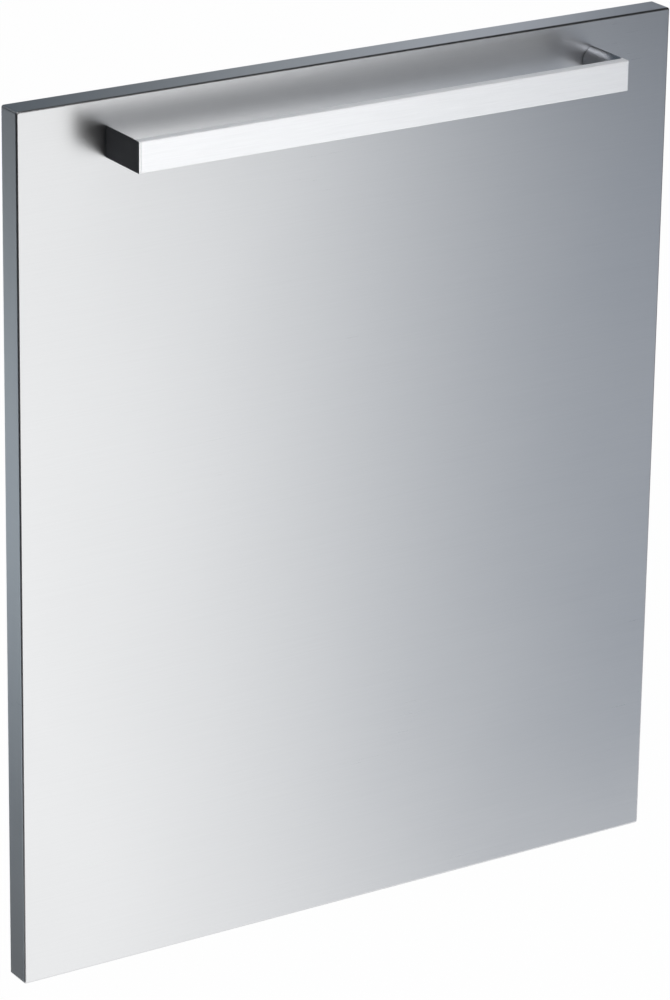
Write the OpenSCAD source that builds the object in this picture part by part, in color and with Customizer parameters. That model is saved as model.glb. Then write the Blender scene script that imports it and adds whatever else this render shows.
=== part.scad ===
// Front panel of a built-in dishwasher: a folded stainless steel skin over a wood and
// honeycomb core, a bar handle on two posts, and the height-adjustable hooks behind it.
// +Z is up, the face looks along -Y. The origin is the centre of the four door screws,
// on the plane where the spacers meet the appliance's door.

/* [Panel] */
// Width of the panel
panel_w = 598; // [580:1:610]
// Height of the panel
panel_h = 718; // [650:1:780]
// Thickness of the panel, over the folded edges
panel_t = 24; // [22:0.5:28]
// Thickness of the stainless steel skin
skin_t = 0.8; // [0.6:0.1:1]
// Outer radius of the folds
bend_r = 1.6; // [1.2:0.1:1.8]
// Radius of the four welded corners, seen from the front
corner_r = 2; // [1.8:0.1:4]
// Width of the lips folded in behind the panel
lip_w = 14; // [12:0.5:16]
// Width of the mitre slits in the lips
mitre_slit = 0.5; // [0.3:0.1:1]
// Thickness of the galvanised back sheet
back_t = 0.5; // [0.4:0.1:1]

/* [Core] */
// Space between the core and the folded edges
core_gap = 1; // [0.9:0.1:2]
// Height of the top rail
top_rail_h = 70; // [64:1:84]
// Height of the bottom rail
bottom_rail_h = 50; // [30:1:80]
// Width of the two stiles
stile_w = 45; // [40:1:58]
// Wood left round each hanger
block_margin = 12; // [8:1:20]
// Size of a honeycomb cell, across its flats
cell_size = 44; // [30:1:60]
// Wall of the paper honeycomb
cell_wall = 0.8; // [0.6:0.1:1.5]

/* [Handle] */
// Length of the handle, over its end faces
handle_l = 446; // [300:1:530]
// From the top of the panel down to the handle
handle_drop = 21; // [17:1:36]
// From the face of the panel to the front of the bar
handle_reach = 50; // [38:1:60]
// Height of the bar and of its posts
bar_h = 25; // [24:0.5:30]
// Depth of the bar, front to back
bar_d = 8; // [8:0.5:12]
// Wall of the bar's tube
bar_wall = 1.2; // [1:0.1:1.3]
// Radius on the bar's long edges
bar_r = 1; // [0.5:0.1:1.5]
// Width of a post, from its flat outer face to the crown of its round side
post_w = 9; // [8:0.5:12]
// Thickness of the plate that closes each end of the bar
end_plate_t = 1.5; // [1:0.1:2.5]
// How far each post's tongue reaches into the bar
tongue_l = 20; // [16:1:40]
// Thickness of the gasket under each post
gasket_t = 0.5; // [0.3:0.1:1]

/* [Handle fixing] */
// Diameter of the two foot screws
foot_screw_d = 5; // [4:0.5:5.5]
// Length of the foot screws, under the head
foot_screw_l = 25; // [20:1:30]
// From the post's flat outer face to its foot screw
foot_screw_inset = 4.2; // [4:0.1:4.6]
// Diameter of the locating pins
pin_d = 3; // [2:0.5:3]
// Length of the locating pins
pin_l = 10; // [9:0.5:12]
// Diameter of the access holes in the back
access_d = 22; // [20:0.5:23]
// Depth of the counterbore for the foot screw's head
access_depth = 11; // [10.5:0.5:13]

/* [Door screws] */
// From the panel's side edge to the line of the door screws
door_screw_inset_x = 29; // [26:0.5:32]
// From the panel's top and bottom edges to the door screws
door_screw_inset_z = 109; // [80:1:150]
// Height of the spacers, which is the space between panel and door
spacer_h = 8; // [8:0.5:12]
// Outer diameter of the spacers
spacer_d = 22; // [16:0.5:23]
// Bore of the spacers
spacer_bore_d = 6; // [5.5:0.1:6.5]
// Outer diameter of the threaded inserts
insert_d = 10; // [8:0.5:12]
// Length of the threaded inserts
insert_l = 15; // [12:0.5:17]
// Core diameter of the inserts' thread
insert_bore_d = 4.2; // [3.5:0.1:5]

/* [Hangers] */
// From the panel's side edge to the middle of a hanger
hanger_inset_x = 109; // [100:1:140]
// From the panel's top edge to the middle of a hanger
hanger_inset_z = 139; // [139:1:200]
// Width of a hanger's base plate
base_w = 76; // [70:1:90]
// Height of a hanger's base plate
base_h = 100; // [96:1:120]
// Thickness of the base plate and of its channel
base_t = 2; // [1.5:0.1:2.5]
// Width of the sliding hook plate
slide_w = 47.4; // [40:0.1:50]
// Thickness of the sliding hook plate
slide_t = 3; // [2.5:0.1:3.5]
// Width of the hook
hook_w = 28; // [20:1:34]
// How far the hook reaches down behind the door's sheet
hook_drop = 18; // [12:1:19]
// Thickness of the door's sheet that the hook takes
door_sheet_t = 1; // [0.6:0.1:1.5]
// Height adjustment, up and down from the middle
travel = 5; // [3:0.5:6]
// Nominal diameter of the height screw
height_screw_d = 6; // [5:0.5:6]
// Nominal diameter of the lock screw
lock_screw_d = 5; // [4:0.5:6]
// Diameter of the wood screws that hold a base plate
wood_screw_d = 4; // [3:0.5:4.5]
// Length of those wood screws, under the head
wood_screw_l = 17; // [12:1:18]

/* [Fits] */
// Radial clearance of a screw or pin in its bore
bore_gap = 0.05; // [0.03:0.01:0.08]
// Clearance round a piece that slides
slide_gap = 0.3; // [0.2:0.05:0.5]
// Clearance round a piece that is pushed in by hand
push_gap = 0.2; // [0.1:0.05:0.3]

/* [Hidden] */
$fn = 64;
eps = 0.01;
past = 1; // how far a cutting tool runs past the face it cuts

// Planes across the panel, from the door to the front of the handle
y_back = -spacer_h; // rear face of the back sheet, under the lips
y_lip = y_back + skin_t;
y_face = y_lip - panel_t;
y_core_front = y_face + skin_t;
y_core_rear = y_back - back_t;
y_mid = (y_lip + y_face) / 2;
y_foot = y_face - gasket_t;
y_bar_front = y_face - handle_reach;
y_bar_rear = y_bar_front + bar_d;
y_bar_mid = y_bar_front + bar_d / 2;
y_seat = y_core_rear - access_depth; // floor of the foot screw's counterbore

// The core, inside the folded skin
core_x = panel_w / 2 - skin_t - core_gap;
core_z = panel_h / 2 - skin_t - core_gap;
stile_x = core_x - stile_w;
rail_top_z = core_z - top_rail_h;
rail_bottom_z = bottom_rail_h - core_z;

// The handle
bar_x = handle_l / 2;
bar_z = panel_h / 2 - handle_drop - bar_h / 2;
post_r = (pow(bar_h / 2, 2) + pow(post_w, 2)) / (2 * post_w);
foot_x = bar_x - foot_screw_inset;
pin_shift = 1; // a pin stands this much further out than its foot screw
pin_x = foot_x + pin_shift;
pin_inset_z = 4.5;
pin_z = bar_z + bar_h / 2 - pin_inset_z;
pin_in_core = 2.7;
pin_in_post = pin_l - gasket_t - skin_t - pin_in_core;
pin_hole_gap = 0.3;
pin_hole_r = pin_d / 2 + pin_hole_gap;
pin_hole_depth = 4; // into the top rail
gasket_inset = 0.3; // from the post's outline to the gasket's
tongue_d = bar_d - 2 * bar_wall - 2 * push_gap;
tongue_h = bar_h - 2 * bar_wall - 2 * push_gap;
notch_w = 6; // slot in the bar's rear wall that the post's neck passes through
notch_h = 16;
foot_hole_gap = 0.25;
foot_hole_r = foot_screw_d / 2 + foot_hole_gap;
sleeve_wall = 2.25;
sleeve_r = foot_hole_r + sleeve_wall;
washer_gap = 2;
washer_r = access_d / 2 - washer_gap;
washer_t = 1.5;
y_foot_head = y_seat + washer_t;
y_foot_tip = y_foot_head - foot_screw_l;
foot_head_r = 4.75;
foot_head_h = 3.2;
foot_key = 3; // across the flats of its socket
foot_key_depth = 2;
thread_spare = 2; // tapped depth beyond a screw's tip
grub_r = 2;
grub_l = 5;
grub_key = 2;
grub_key_depth = 2;
grub_spare = 1;
grub_x = bar_x - end_plate_t - tongue_l / 2;
grub_sunk = 0.3;
plug_flange_w = 2;
plug_flange_r = access_d / 2 + plug_flange_w;
plug_flange_t = 1.5;
plug_wall = 1.2;
plug_l = 4;

// The door screws
door_x = panel_w / 2 - door_screw_inset_x;
door_z = panel_h / 2 - door_screw_inset_z;
insert_flange_w = 2;
insert_flange_r = insert_d / 2 + insert_flange_w;
insert_flange_t = 1;
sheet_hole_gap = 0.5;
sheet_hole_r = spacer_bore_d / 2 + sheet_hole_gap;

// The hangers: x and z are measured from a hanger's middle, y from the back sheet
hanger_x = panel_w / 2 - hanger_inset_x;
hanger_z = panel_h / 2 - hanger_inset_z;
block_x = hanger_x - base_w / 2 - block_margin;
block_z = hanger_z - base_h / 2 - block_margin;
channel_x = slide_w / 2 + slide_gap;
channel_y = base_t + slide_t + 2 * slide_gap;
channel_lip = 5;
channel_inset = 4; // from the ear down to the channel's end
base_r = 4;
ear_inset = 6;
ear_z = base_h / 2 - ear_inset;
ear_t = 2.5;
ear_w = 20;
slide_y = base_t + slide_gap;
slide_top_y = slide_y + slide_t;
low_spare = 1; // left below and above the slide at the ends of its travel
high_spare = 5;
slide_low_z = -base_h / 2 + low_spare + travel;
slide_high_z = ear_z - high_spare - travel;
hook_rise = 20;
hook_z = slide_low_z + hook_rise; // underside of the hook's web
hook_gap = 1;
hook_y = spacer_h + door_sheet_t + hook_gap; // near face of the hook's lip
hook_t = 3;
lug_inset = 8;
lug_top_z = slide_high_z - lug_inset;
lug_t = 6;
lug_w = 16;
height_stand = 5.2; // from the slide's face to the axis of the height screw
height_y = slide_top_y + height_stand;
lug_margin = 5.5; // metal of the lug and of the ear beyond that axis
ear_margin = 7.5;
lug_y = height_y + lug_margin;
ear_y = height_y + ear_margin;
height_r = height_screw_d / 2 - bore_gap;
height_spare = 9; // thread below the lug when the slide is at its lowest
height_low_z = lug_top_z - lug_t - travel - height_spare;
height_head_r = 5;
height_head_h = 4;
height_key = 5;
height_key_depth = 3;
clip_t = 1;
clip_groove_depth = 0.6;
clip_groove_r = height_r - clip_groove_depth;
clip_grip = 0.3; // how far the clip's mouth closes round the groove, on each side
clip_high_z = ear_z - slide_gap;
lock_z = -2;
lock_head_y = slide_top_y + slide_gap;
lock_head_w = 2.25;
lock_head_r = lock_screw_d / 2 + lock_head_w;
lock_head_h = 2.2;
lock_key = 3;
lock_key_depth = 1.6;
lock_past_base = 4;
lock_l = lock_head_y + lock_past_base;
slot_spare = 0.2;
slot_r = lock_screw_d / 2 + slide_gap;
slot_half = travel + slot_r + slot_spare;
collar_wall = 1.3;
collar_r = lock_screw_d / 2 + collar_wall;
collar_l = 2;
collar_gap = 0.4;
collar_hole_r = collar_r + collar_gap;
collar_hole_depth = 6;
wood_inset_x = 6;
wood_inset_z = 12;
wood_x = base_w / 2 - wood_inset_x;
wood_z = base_h / 2 - wood_inset_z;
wood_head_r = wood_screw_d;
wood_head_h = 2.5;
wood_key = 2.5;
wood_key_depth = 1.5;

// ---- shapes that repeat ----

// A flat outline in X and Z, given depth from y0 to y1
module along_y(y0, y1) {
    translate([0, y1, 0]) rotate([90, 0, 0]) linear_extrude(height = y1 - y0) children();
}

// A flat outline in Y and Z, given length from x0 to x1
module along_x(x0, x1) {
    translate([x0, 0, 0]) rotate([90, 0, 90]) linear_extrude(height = x1 - x0) children();
}

// A round bar along Y, at x and z
module rod_y(x, z, r, y0, y1) {
    translate([x, y1, z]) rotate([90, 0, 0]) cylinder(r = r, h = y1 - y0);
}

// A box from its lowest to its highest corner
module block(low, high) {
    translate(low) cube(high - low);
}

// A rectangle with rounded corners, about its middle
module soft_rect(w, h, r) {
    square([w - 2 * r, h], center = true);
    square([w, h - 2 * r], center = true);
    for (x = [-1, 1], z = [-1, 1]) {
        translate([x * (w / 2 - r), z * (h / 2 - r)]) circle(r = r);
    }
}

// The same piece on the left and on the right
module both_sides() {
    children();
    mirror([1, 0, 0]) children();
}

// A socket for a hexagon key, cut upwards into a head from z = 0
module hex_socket(across, depth) {
    translate([0, 0, -past]) cylinder(r = across / sqrt(3), h = depth + past, $fn = 6);
}

// ---- the panel ----

// The section of a folded edge over thickness t, from x = 0 out to the given reach
module edge_section(reach, t, r) {
    intersection() {
        translate([0, -t / 2]) square([reach, t]);
        translate([reach - panel_t, 0]) soft_rect(2 * panel_t, t, r);
    }
}

// The panel's outer block with every fold rounded, or its hollow at inset skin_t
module folded_block(inset) {
    reach = corner_r - inset;
    t = panel_t - 2 * inset;
    r = bend_r - inset;
    w = panel_w / 2 - corner_r;
    h = panel_h / 2 - corner_r;
    translate([0, y_mid, 0]) {
        block([-w, -t / 2, -h], [w, t / 2, h]);
        for (x = [0, 1]) mirror([x, 0, 0]) {
            translate([w, 0, -h]) linear_extrude(height = 2 * h) edge_section(reach, t, r);
            for (z = [0, 1]) {
                mirror([0, 0, z]) translate([w, 0, h]) rotate([90, 0, 0])
                    rotate_extrude(angle = 90) edge_section(reach, t, r);
            }
        }
        for (z = [0, 1]) {
            mirror([0, 0, z]) translate([w, 0, h]) rotate([0, -90, 0])
                linear_extrude(height = 2 * w) edge_section(reach, t, r);
        }
    }
}

// One sheet: the face, four folded edges, and lips with mitred corners behind
module front_skin() {
    slit_x = panel_w / 2 - lip_w;
    slit_z = panel_h / 2 - lip_w;
    slit_l = sqrt(2) * (lip_w - bend_r);
    color("silver") difference() {
        folded_block(0);
        folded_block(skin_t);
        block([-slit_x, y_mid, -slit_z], [slit_x, y_lip + past, slit_z]);
        for (x = [0, 1], z = [0, 1]) {
            mirror([x, 0, 0]) mirror([0, 0, z]) translate([slit_x, 0, slit_z]) rotate([0, -45, 0])
                block([-past, y_back - past / 4, -mitre_slit / 2],
                      [slit_l, y_lip + past, mitre_slit / 2]);
        }
        both_sides() {
            rod_y(-foot_x, bar_z, foot_hole_r, y_face - past, y_core_front + past);
            rod_y(-pin_x, pin_z, pin_hole_r, y_face - past, y_core_front + past);
        }
    }
}

// The galvanised sheet that closes the panel, held under the lips
module back_sheet() {
    color("gainsboro") difference() {
        block([-core_x, y_core_rear, -core_z], [core_x, y_back, core_z]);
        both_sides() {
            rod_y(-foot_x, bar_z, access_d / 2, y_core_rear - past, y_back + past);
            for (z = [-door_z, door_z]) {
                rod_y(-door_x, z, sheet_hole_r, y_core_rear - past, y_back + past);
            }
            translate([-hanger_x, 0, hanger_z]) {
                rod_y(0, lock_z, collar_hole_r, y_core_rear - past, y_back + past);
                for (x = [-wood_x, wood_x], z = [-wood_z, wood_z]) {
                    rod_y(x, z, wood_screw_d / 2 + push_gap, y_core_rear - past, y_back + past);
                }
            }
        }
    }
}

// ---- the core ----

// The top rail carries the handle: sleeve bores, counterbores and pin holes
module top_rail() {
    color("burlywood") difference() {
        block([-core_x, y_core_front, rail_top_z], [core_x, y_core_rear, core_z]);
        both_sides() {
            rod_y(-foot_x, bar_z, sleeve_r + bore_gap, y_core_front - past, y_seat + past);
            rod_y(-foot_x, bar_z, access_d / 2, y_seat, y_core_rear + past);
            rod_y(-pin_x, pin_z, pin_hole_r, y_core_front - past, y_core_front + pin_hole_depth);
        }
    }
}

module bottom_rail() {
    color("burlywood")
        block([-core_x, y_core_front, -core_z], [core_x, y_core_rear, rail_bottom_z]);
}

// A stile, on the left, with the stepped bores of two threaded inserts
module stile() {
    difference() {
        block([-core_x, y_core_front, rail_bottom_z], [-stile_x, y_core_rear, rail_top_z]);
        for (z = [-door_z, door_z]) {
            rod_y(-door_x, z, insert_d / 2 + bore_gap, y_core_rear - insert_l, y_core_rear + past);
            rod_y(-door_x, z, insert_flange_r + bore_gap, y_core_rear - insert_flange_t,
                  y_core_rear + past);
        }
    }
}

module left_stile() {
    color("burlywood") stile();
}

module right_stile() {
    color("burlywood") mirror([1, 0, 0]) stile();
}

// The block that a hanger's wood screws bite into, on the left
module hanger_block() {
    difference() {
        block([-stile_x, y_core_front, block_z], [-block_x, y_core_rear, rail_top_z]);
        translate([-hanger_x, 0, hanger_z]) {
            rod_y(0, lock_z, collar_hole_r, y_core_rear - collar_hole_depth, y_core_rear + past);
            for (x = [-wood_x, wood_x], z = [-wood_z, wood_z]) {
                rod_y(x, z, wood_screw_d / 2 + bore_gap, y_core_rear - wood_screw_l + base_t,
                      y_core_rear + past);
            }
        }
    }
}

module left_hanger_block() {
    color("tan") hanger_block();
}

module right_hanger_block() {
    color("tan") mirror([1, 0, 0]) hanger_block();
}

// The space between rails, stiles and hanger blocks, drawn in by the given inset
module core_field(inset) {
    difference() {
        translate([-stile_x + inset, rail_bottom_z + inset])
            square([2 * (stile_x - inset), rail_top_z - rail_bottom_z - 2 * inset]);
        for (side = [0, 1]) {
            mirror([side, 0]) translate([-stile_x - past, block_z - inset])
                square([stile_x - block_x + inset + past, rail_top_z - block_z + inset + past]);
        }
    }
}

// Paper honeycomb, cut to the shape of that space
module honeycomb_core() {
    pitch = cell_size + cell_wall;
    row = pitch * sqrt(3) / 2;
    columns = ceil(stile_x / pitch) + 1;
    rows = ceil((rail_top_z - rail_bottom_z) / row) + 1;
    color("peru") along_y(y_core_front, y_core_rear) difference() {
        core_field(0);
        intersection() {
            core_field(cell_wall);
            for (j = [0 : rows], i = [-columns : columns]) {
                translate([(i + (j % 2) / 2) * pitch, rail_bottom_z + j * row])
                    rotate(30) circle(r = cell_size / sqrt(3), $fn = 6);
            }
        }
    }
}

// ---- the handle ----

// The bar's outline in Y and Z
module bar_outline() {
    translate([y_bar_mid, 0]) soft_rect(bar_d, bar_h, bar_r);
}

// A rectangular tube, notched behind at both ends for the posts' necks
module handle_bar() {
    half = bar_x - end_plate_t;
    color("white") translate([0, 0, bar_z]) difference() {
        along_x(-half, half) bar_outline();
        along_x(-half - past, half + past) translate([y_bar_mid, 0])
            square([bar_d - 2 * bar_wall, bar_h - 2 * bar_wall], center = true);
        both_sides() {
            block([-half - past, y_bar_mid, -notch_h / 2],
                  [-half + notch_w, y_bar_rear + past, notch_h / 2]);
            translate([-grub_x, y_bar_mid, -bar_h / 2 - past])
                cylinder(r = grub_r + push_gap, h = bar_wall + 2 * past);
        }
    }
}

// A post's section: flat on the outside, round towards the middle of the handle
module post_outline(inset) {
    intersection() {
        translate([-bar_x + post_w - post_r, 0]) circle(r = post_r - inset);
        translate([-bar_x + inset, -bar_h / 2]) square([post_w, bar_h]);
    }
}

// A post, on the left: shank, end plate, and the neck and tongue inside the bar
module post() {
    inside_x = -bar_x + end_plate_t;
    translate([0, 0, bar_z]) difference() {
        union() {
            along_y(y_bar_rear, y_foot) post_outline(0);
            along_x(-bar_x, inside_x) {
                bar_outline();
                translate([y_bar_mid, -bar_h / 2]) square([bar_d / 2 + eps, bar_h]);
            }
            block([inside_x - eps, y_bar_mid, -notch_h / 2 + push_gap],
                  [inside_x + notch_w - push_gap, y_bar_rear + eps, notch_h / 2 - push_gap]);
            block([inside_x - eps, y_bar_mid - tongue_d / 2, -tongue_h / 2],
                  [inside_x + tongue_l, y_bar_mid + tongue_d / 2, tongue_h / 2]);
        }
        rod_y(-foot_x, 0, foot_screw_d / 2 + bore_gap, y_foot_tip - thread_spare, y_foot + past);
        rod_y(-pin_x, pin_z - bar_z, pin_d / 2 + bore_gap, y_foot - pin_in_post, y_foot + past);
        translate([-grub_x, y_bar_mid, -bar_h / 2])
            cylinder(r = grub_r + bore_gap, h = grub_sunk + grub_l + grub_spare);
    }
}

module left_handle_post() {
    color("dimgray") post();
}

module right_handle_post() {
    color("dimgray") mirror([1, 0, 0]) post();
}

// The thin pad between a post and the panel's face
module post_gasket() {
    translate([0, 0, bar_z]) difference() {
        along_y(y_foot, y_face) post_outline(gasket_inset);
        rod_y(-foot_x, 0, foot_hole_r, y_foot - past, y_face + past);
        rod_y(-pin_x, pin_z - bar_z, pin_hole_r, y_foot - past, y_face + past);
    }
}

module left_post_gasket() {
    color("black") post_gasket();
}

module right_post_gasket() {
    color("black") mirror([1, 0, 0]) post_gasket();
}

// Pins that keep the posts from turning on their screws
module locating_pins() {
    color("gray") both_sides()
        rod_y(-pin_x, pin_z, pin_d / 2, y_foot - pin_in_post, y_foot - pin_in_post + pin_l);
}

// Screws from behind the panel into the posts
module handle_foot_screws() {
    color("gray") both_sides() difference() {
        union() {
            rod_y(-foot_x, bar_z, foot_screw_d / 2, y_foot_tip, y_foot_head + eps);
            rod_y(-foot_x, bar_z, foot_head_r, y_foot_head, y_foot_head + foot_head_h);
        }
        translate([-foot_x, y_foot_head + foot_head_h, bar_z]) rotate([90, 0, 0])
            hex_socket(foot_key, foot_key_depth);
    }
}

module foot_screw_washers() {
    color("lightgray") both_sides() difference() {
        rod_y(-foot_x, bar_z, washer_r, y_seat, y_seat + washer_t);
        rod_y(-foot_x, bar_z, foot_hole_r, y_seat - past, y_seat + washer_t + past);
    }
}

// Steel sleeves that take the clamping force instead of the wood
module foot_screw_sleeves() {
    color("lightgray") both_sides() difference() {
        rod_y(-foot_x, bar_z, sleeve_r, y_core_front, y_seat);
        rod_y(-foot_x, bar_z, foot_hole_r, y_core_front - past, y_seat + past);
    }
}

// Set screws under the bar, into the posts' tongues
module bar_grub_screws() {
    z_low = bar_z - bar_h / 2 + grub_sunk;
    color("gray") both_sides() translate([-grub_x, y_bar_mid, z_low]) difference() {
        cylinder(r = grub_r, h = grub_l);
        hex_socket(grub_key, grub_key_depth);
    }
}

// Caps that close the access holes in the back
module access_plugs() {
    color("dimgray") both_sides() difference() {
        union() {
            rod_y(-foot_x, bar_z, plug_flange_r, y_back, y_back + plug_flange_t);
            rod_y(-foot_x, bar_z, access_d / 2 - push_gap, y_back - plug_l, y_back + eps);
        }
        rod_y(-foot_x, bar_z, access_d / 2 - push_gap - plug_wall, y_back - plug_l - past, y_back);
    }
}

// ---- fixing to the door ----

// Flanged inserts in the stiles, for the screws that come through the door
module threaded_inserts() {
    color("goldenrod") both_sides() for (z = [-door_z, door_z]) difference() {
        union() {
            rod_y(-door_x, z, insert_d / 2, y_core_rear - insert_l, y_core_rear);
            rod_y(-door_x, z, insert_flange_r, y_core_rear - insert_flange_t, y_core_rear);
        }
        rod_y(-door_x, z, insert_bore_d / 2, y_core_rear - insert_l - past, y_core_rear + past);
    }
}

// Bushes that keep the panel clear of the door where it is screwed
module door_spacers() {
    color("black") both_sides() for (z = [-door_z, door_z]) difference() {
        rod_y(-door_x, z, spacer_d / 2, y_back, 0);
        rod_y(-door_x, z, spacer_bore_d / 2, y_back - past, past);
    }
}

// ---- the hangers ----

// Places a hanger's piece: side is -1 on the left and 1 on the right
module at_hanger(side) {
    translate([side * hanger_x, y_back, hanger_z]) children();
}

// Base plate with the channel that guides the slide, and the ear for the height screw
module hanger_base() {
    high_z = ear_z - channel_inset;
    low_z = -base_h / 2;
    difference() {
        union() {
            along_y(0, base_t) soft_rect(base_w, base_h, base_r);
            both_sides() {
                block([channel_x, base_t - eps, low_z],
                      [channel_x + base_t, channel_y + base_t, high_z]);
                block([channel_x - channel_lip, channel_y, low_z],
                      [channel_x + eps, channel_y + base_t, high_z]);
            }
            block([-ear_w / 2, base_t - eps, ear_z], [ear_w / 2, ear_y, ear_z + ear_t]);
            rod_y(0, lock_z, collar_r, -collar_l, eps);
        }
        translate([0, height_y, ear_z - past])
            cylinder(r = height_r + bore_gap, h = ear_t + 2 * past);
        rod_y(0, lock_z, lock_screw_d / 2 + bore_gap, -collar_l - past, base_t + past);
        for (x = [-wood_x, wood_x], z = [-wood_z, wood_z]) {
            rod_y(x, z, wood_screw_d / 2 + push_gap, -past, base_t + past);
        }
    }
}

// The plate that slides in the channel: slot, hook and the lug with the height thread
module hook_slide() {
    half = slide_w / 2;
    difference() {
        union() {
            block([-half, slide_y, slide_low_z], [half, slide_top_y, slide_high_z]);
            block([-hook_w / 2, slide_top_y - eps, hook_z],
                  [hook_w / 2, hook_y + hook_t, hook_z + hook_t]);
            block([-hook_w / 2, hook_y, hook_z - hook_drop],
                  [hook_w / 2, hook_y + hook_t, hook_z + eps]);
            block([-lug_w / 2, slide_top_y - eps, lug_top_z - lug_t],
                  [lug_w / 2, lug_y, lug_top_z]);
        }
        along_y(slide_y - past, slide_top_y + past) translate([0, lock_z]) {
            square([2 * slot_r, 2 * (slot_half - slot_r)], center = true);
            for (z = [-1, 1]) {
                translate([0, z * (slot_half - slot_r)]) circle(r = slot_r);
            }
        }
        translate([0, height_y, lug_top_z - lug_t - past])
            cylinder(r = height_r + bore_gap, h = lug_t + 2 * past);
    }
}

// The screw that raises and lowers the slide: it turns in the ear and stays at its height
module height_screw() {
    head_z = ear_z + ear_t + slide_gap;
    translate([0, height_y, 0]) difference() {
        union() {
            translate([0, 0, height_low_z]) cylinder(r = height_r, h = head_z - height_low_z + eps);
            translate([0, 0, head_z]) cylinder(r = height_head_r, h = height_head_h);
        }
        translate([0, 0, clip_high_z - clip_t]) difference() {
            cylinder(r = height_r + past, h = clip_t);
            translate([0, 0, -past]) cylinder(r = clip_groove_r, h = clip_t + 2 * past);
        }
        translate([0, 0, head_z + height_head_h]) mirror([0, 0, 1])
            hex_socket(height_key, height_key_depth);
    }
}

// The retaining ring in the height screw's groove, under the ear
module height_clip() {
    translate([0, height_y, clip_high_z - clip_t]) difference() {
        cylinder(r = height_head_r, h = clip_t);
        translate([0, 0, -past]) cylinder(r = clip_groove_r + bore_gap, h = clip_t + 2 * past);
        block([0, -clip_groove_r + clip_grip, -past],
              [height_head_r + past, clip_groove_r - clip_grip, clip_t + past]);
    }
}

// The screw that clamps the slide when its height is right
module lock_screw() {
    difference() {
        union() {
            rod_y(0, lock_z, lock_screw_d / 2, lock_head_y - lock_l, lock_head_y + eps);
            rod_y(0, lock_z, lock_head_r, lock_head_y, lock_head_y + lock_head_h);
        }
        translate([0, lock_head_y + lock_head_h, lock_z]) rotate([90, 0, 0])
            hex_socket(lock_key, lock_key_depth);
    }
}

// Four wood screws through a base plate
module hanger_screws() {
    for (x = [-wood_x, wood_x], z = [-wood_z, wood_z]) difference() {
        union() {
            rod_y(x, z, wood_screw_d / 2, base_t - wood_screw_l, base_t + eps);
            rod_y(x, z, wood_head_r, base_t, base_t + wood_head_h);
        }
        translate([x, base_t + wood_head_h, z]) rotate([90, 0, 0])
            hex_socket(wood_key, wood_key_depth);
    }
}

module left_hanger_base() {
    color("lightsteelblue") at_hanger(-1) hanger_base();
}

module left_hook_slide() {
    color("gold") at_hanger(-1) hook_slide();
}

module left_height_screw() {
    color("gray") at_hanger(-1) height_screw();
}

module left_height_clip() {
    color("black") at_hanger(-1) height_clip();
}

module left_lock_screw() {
    color("gray") at_hanger(-1) lock_screw();
}

module left_hanger_screws() {
    color("gray") at_hanger(-1) hanger_screws();
}

module right_hanger_base() {
    color("lightsteelblue") at_hanger(1) hanger_base();
}

module right_hook_slide() {
    color("gold") at_hanger(1) hook_slide();
}

module right_height_screw() {
    color("gray") at_hanger(1) height_screw();
}

module right_height_clip() {
    color("black") at_hanger(1) height_clip();
}

module right_lock_screw() {
    color("gray") at_hanger(1) lock_screw();
}

module right_hanger_screws() {
    color("gray") at_hanger(1) hanger_screws();
}

front_skin();
back_sheet();
top_rail();
bottom_rail();
left_stile();
right_stile();
left_hanger_block();
right_hanger_block();
honeycomb_core();
handle_bar();
left_handle_post();
right_handle_post();
left_post_gasket();
right_post_gasket();
locating_pins();
handle_foot_screws();
foot_screw_washers();
foot_screw_sleeves();
bar_grub_screws();
access_plugs();
threaded_inserts();
door_spacers();
left_hanger_base();
left_hook_slide();
left_height_screw();
left_height_clip();
left_lock_screw();
left_hanger_screws();
right_hanger_base();
right_hook_slide();
right_height_screw();
right_height_clip();
right_lock_screw();
right_hanger_screws();
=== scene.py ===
import math
import bpy
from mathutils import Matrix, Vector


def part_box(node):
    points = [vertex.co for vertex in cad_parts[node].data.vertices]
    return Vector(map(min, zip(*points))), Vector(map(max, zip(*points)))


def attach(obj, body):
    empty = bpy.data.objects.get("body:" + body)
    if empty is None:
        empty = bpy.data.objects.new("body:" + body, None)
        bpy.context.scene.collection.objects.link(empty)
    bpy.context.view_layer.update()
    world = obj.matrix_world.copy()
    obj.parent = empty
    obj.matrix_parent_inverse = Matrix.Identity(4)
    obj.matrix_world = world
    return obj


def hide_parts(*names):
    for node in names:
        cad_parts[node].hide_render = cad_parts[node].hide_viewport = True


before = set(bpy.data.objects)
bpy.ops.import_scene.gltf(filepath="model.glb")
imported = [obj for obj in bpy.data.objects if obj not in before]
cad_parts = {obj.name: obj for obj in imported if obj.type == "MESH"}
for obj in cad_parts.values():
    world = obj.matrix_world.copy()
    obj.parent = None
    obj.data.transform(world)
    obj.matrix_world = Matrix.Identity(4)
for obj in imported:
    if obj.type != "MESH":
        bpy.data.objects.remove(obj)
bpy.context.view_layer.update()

# ---- The camera ----
# A long lens a little above the handle and to the left of the panel, which looks along
# its face: the left fold and the top fold both show. No shift and no depth of field.
camera_place = (-1.958, -3.045, 1.372)
camera_turn = (69.02, -0.81, -32.52)
lens_mm = 173.8

bpy.ops.object.camera_add(location=camera_place, rotation=[math.radians(a) for a in camera_turn])
camera = bpy.context.object
camera.name = "camera"
camera.data.lens = lens_mm
camera.data.sensor_width = 36
camera.data.clip_end = 100
bpy.context.scene.camera = camera
bpy.context.scene.view_settings.view_transform = "Standard"

# ---- The studio: white sweep and floor ----
# The world is white to the eye and in reflections, and a softer white as a light. The
# pale floor lies well below the panel, which hangs by its door screws.
floor_z = -1.2
daylight = (0.93, 0.96, 1.0)
world_light = 0.75
floor_grey = (0.95, 0.95, 0.95)
floor_glow = 0.97

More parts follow.
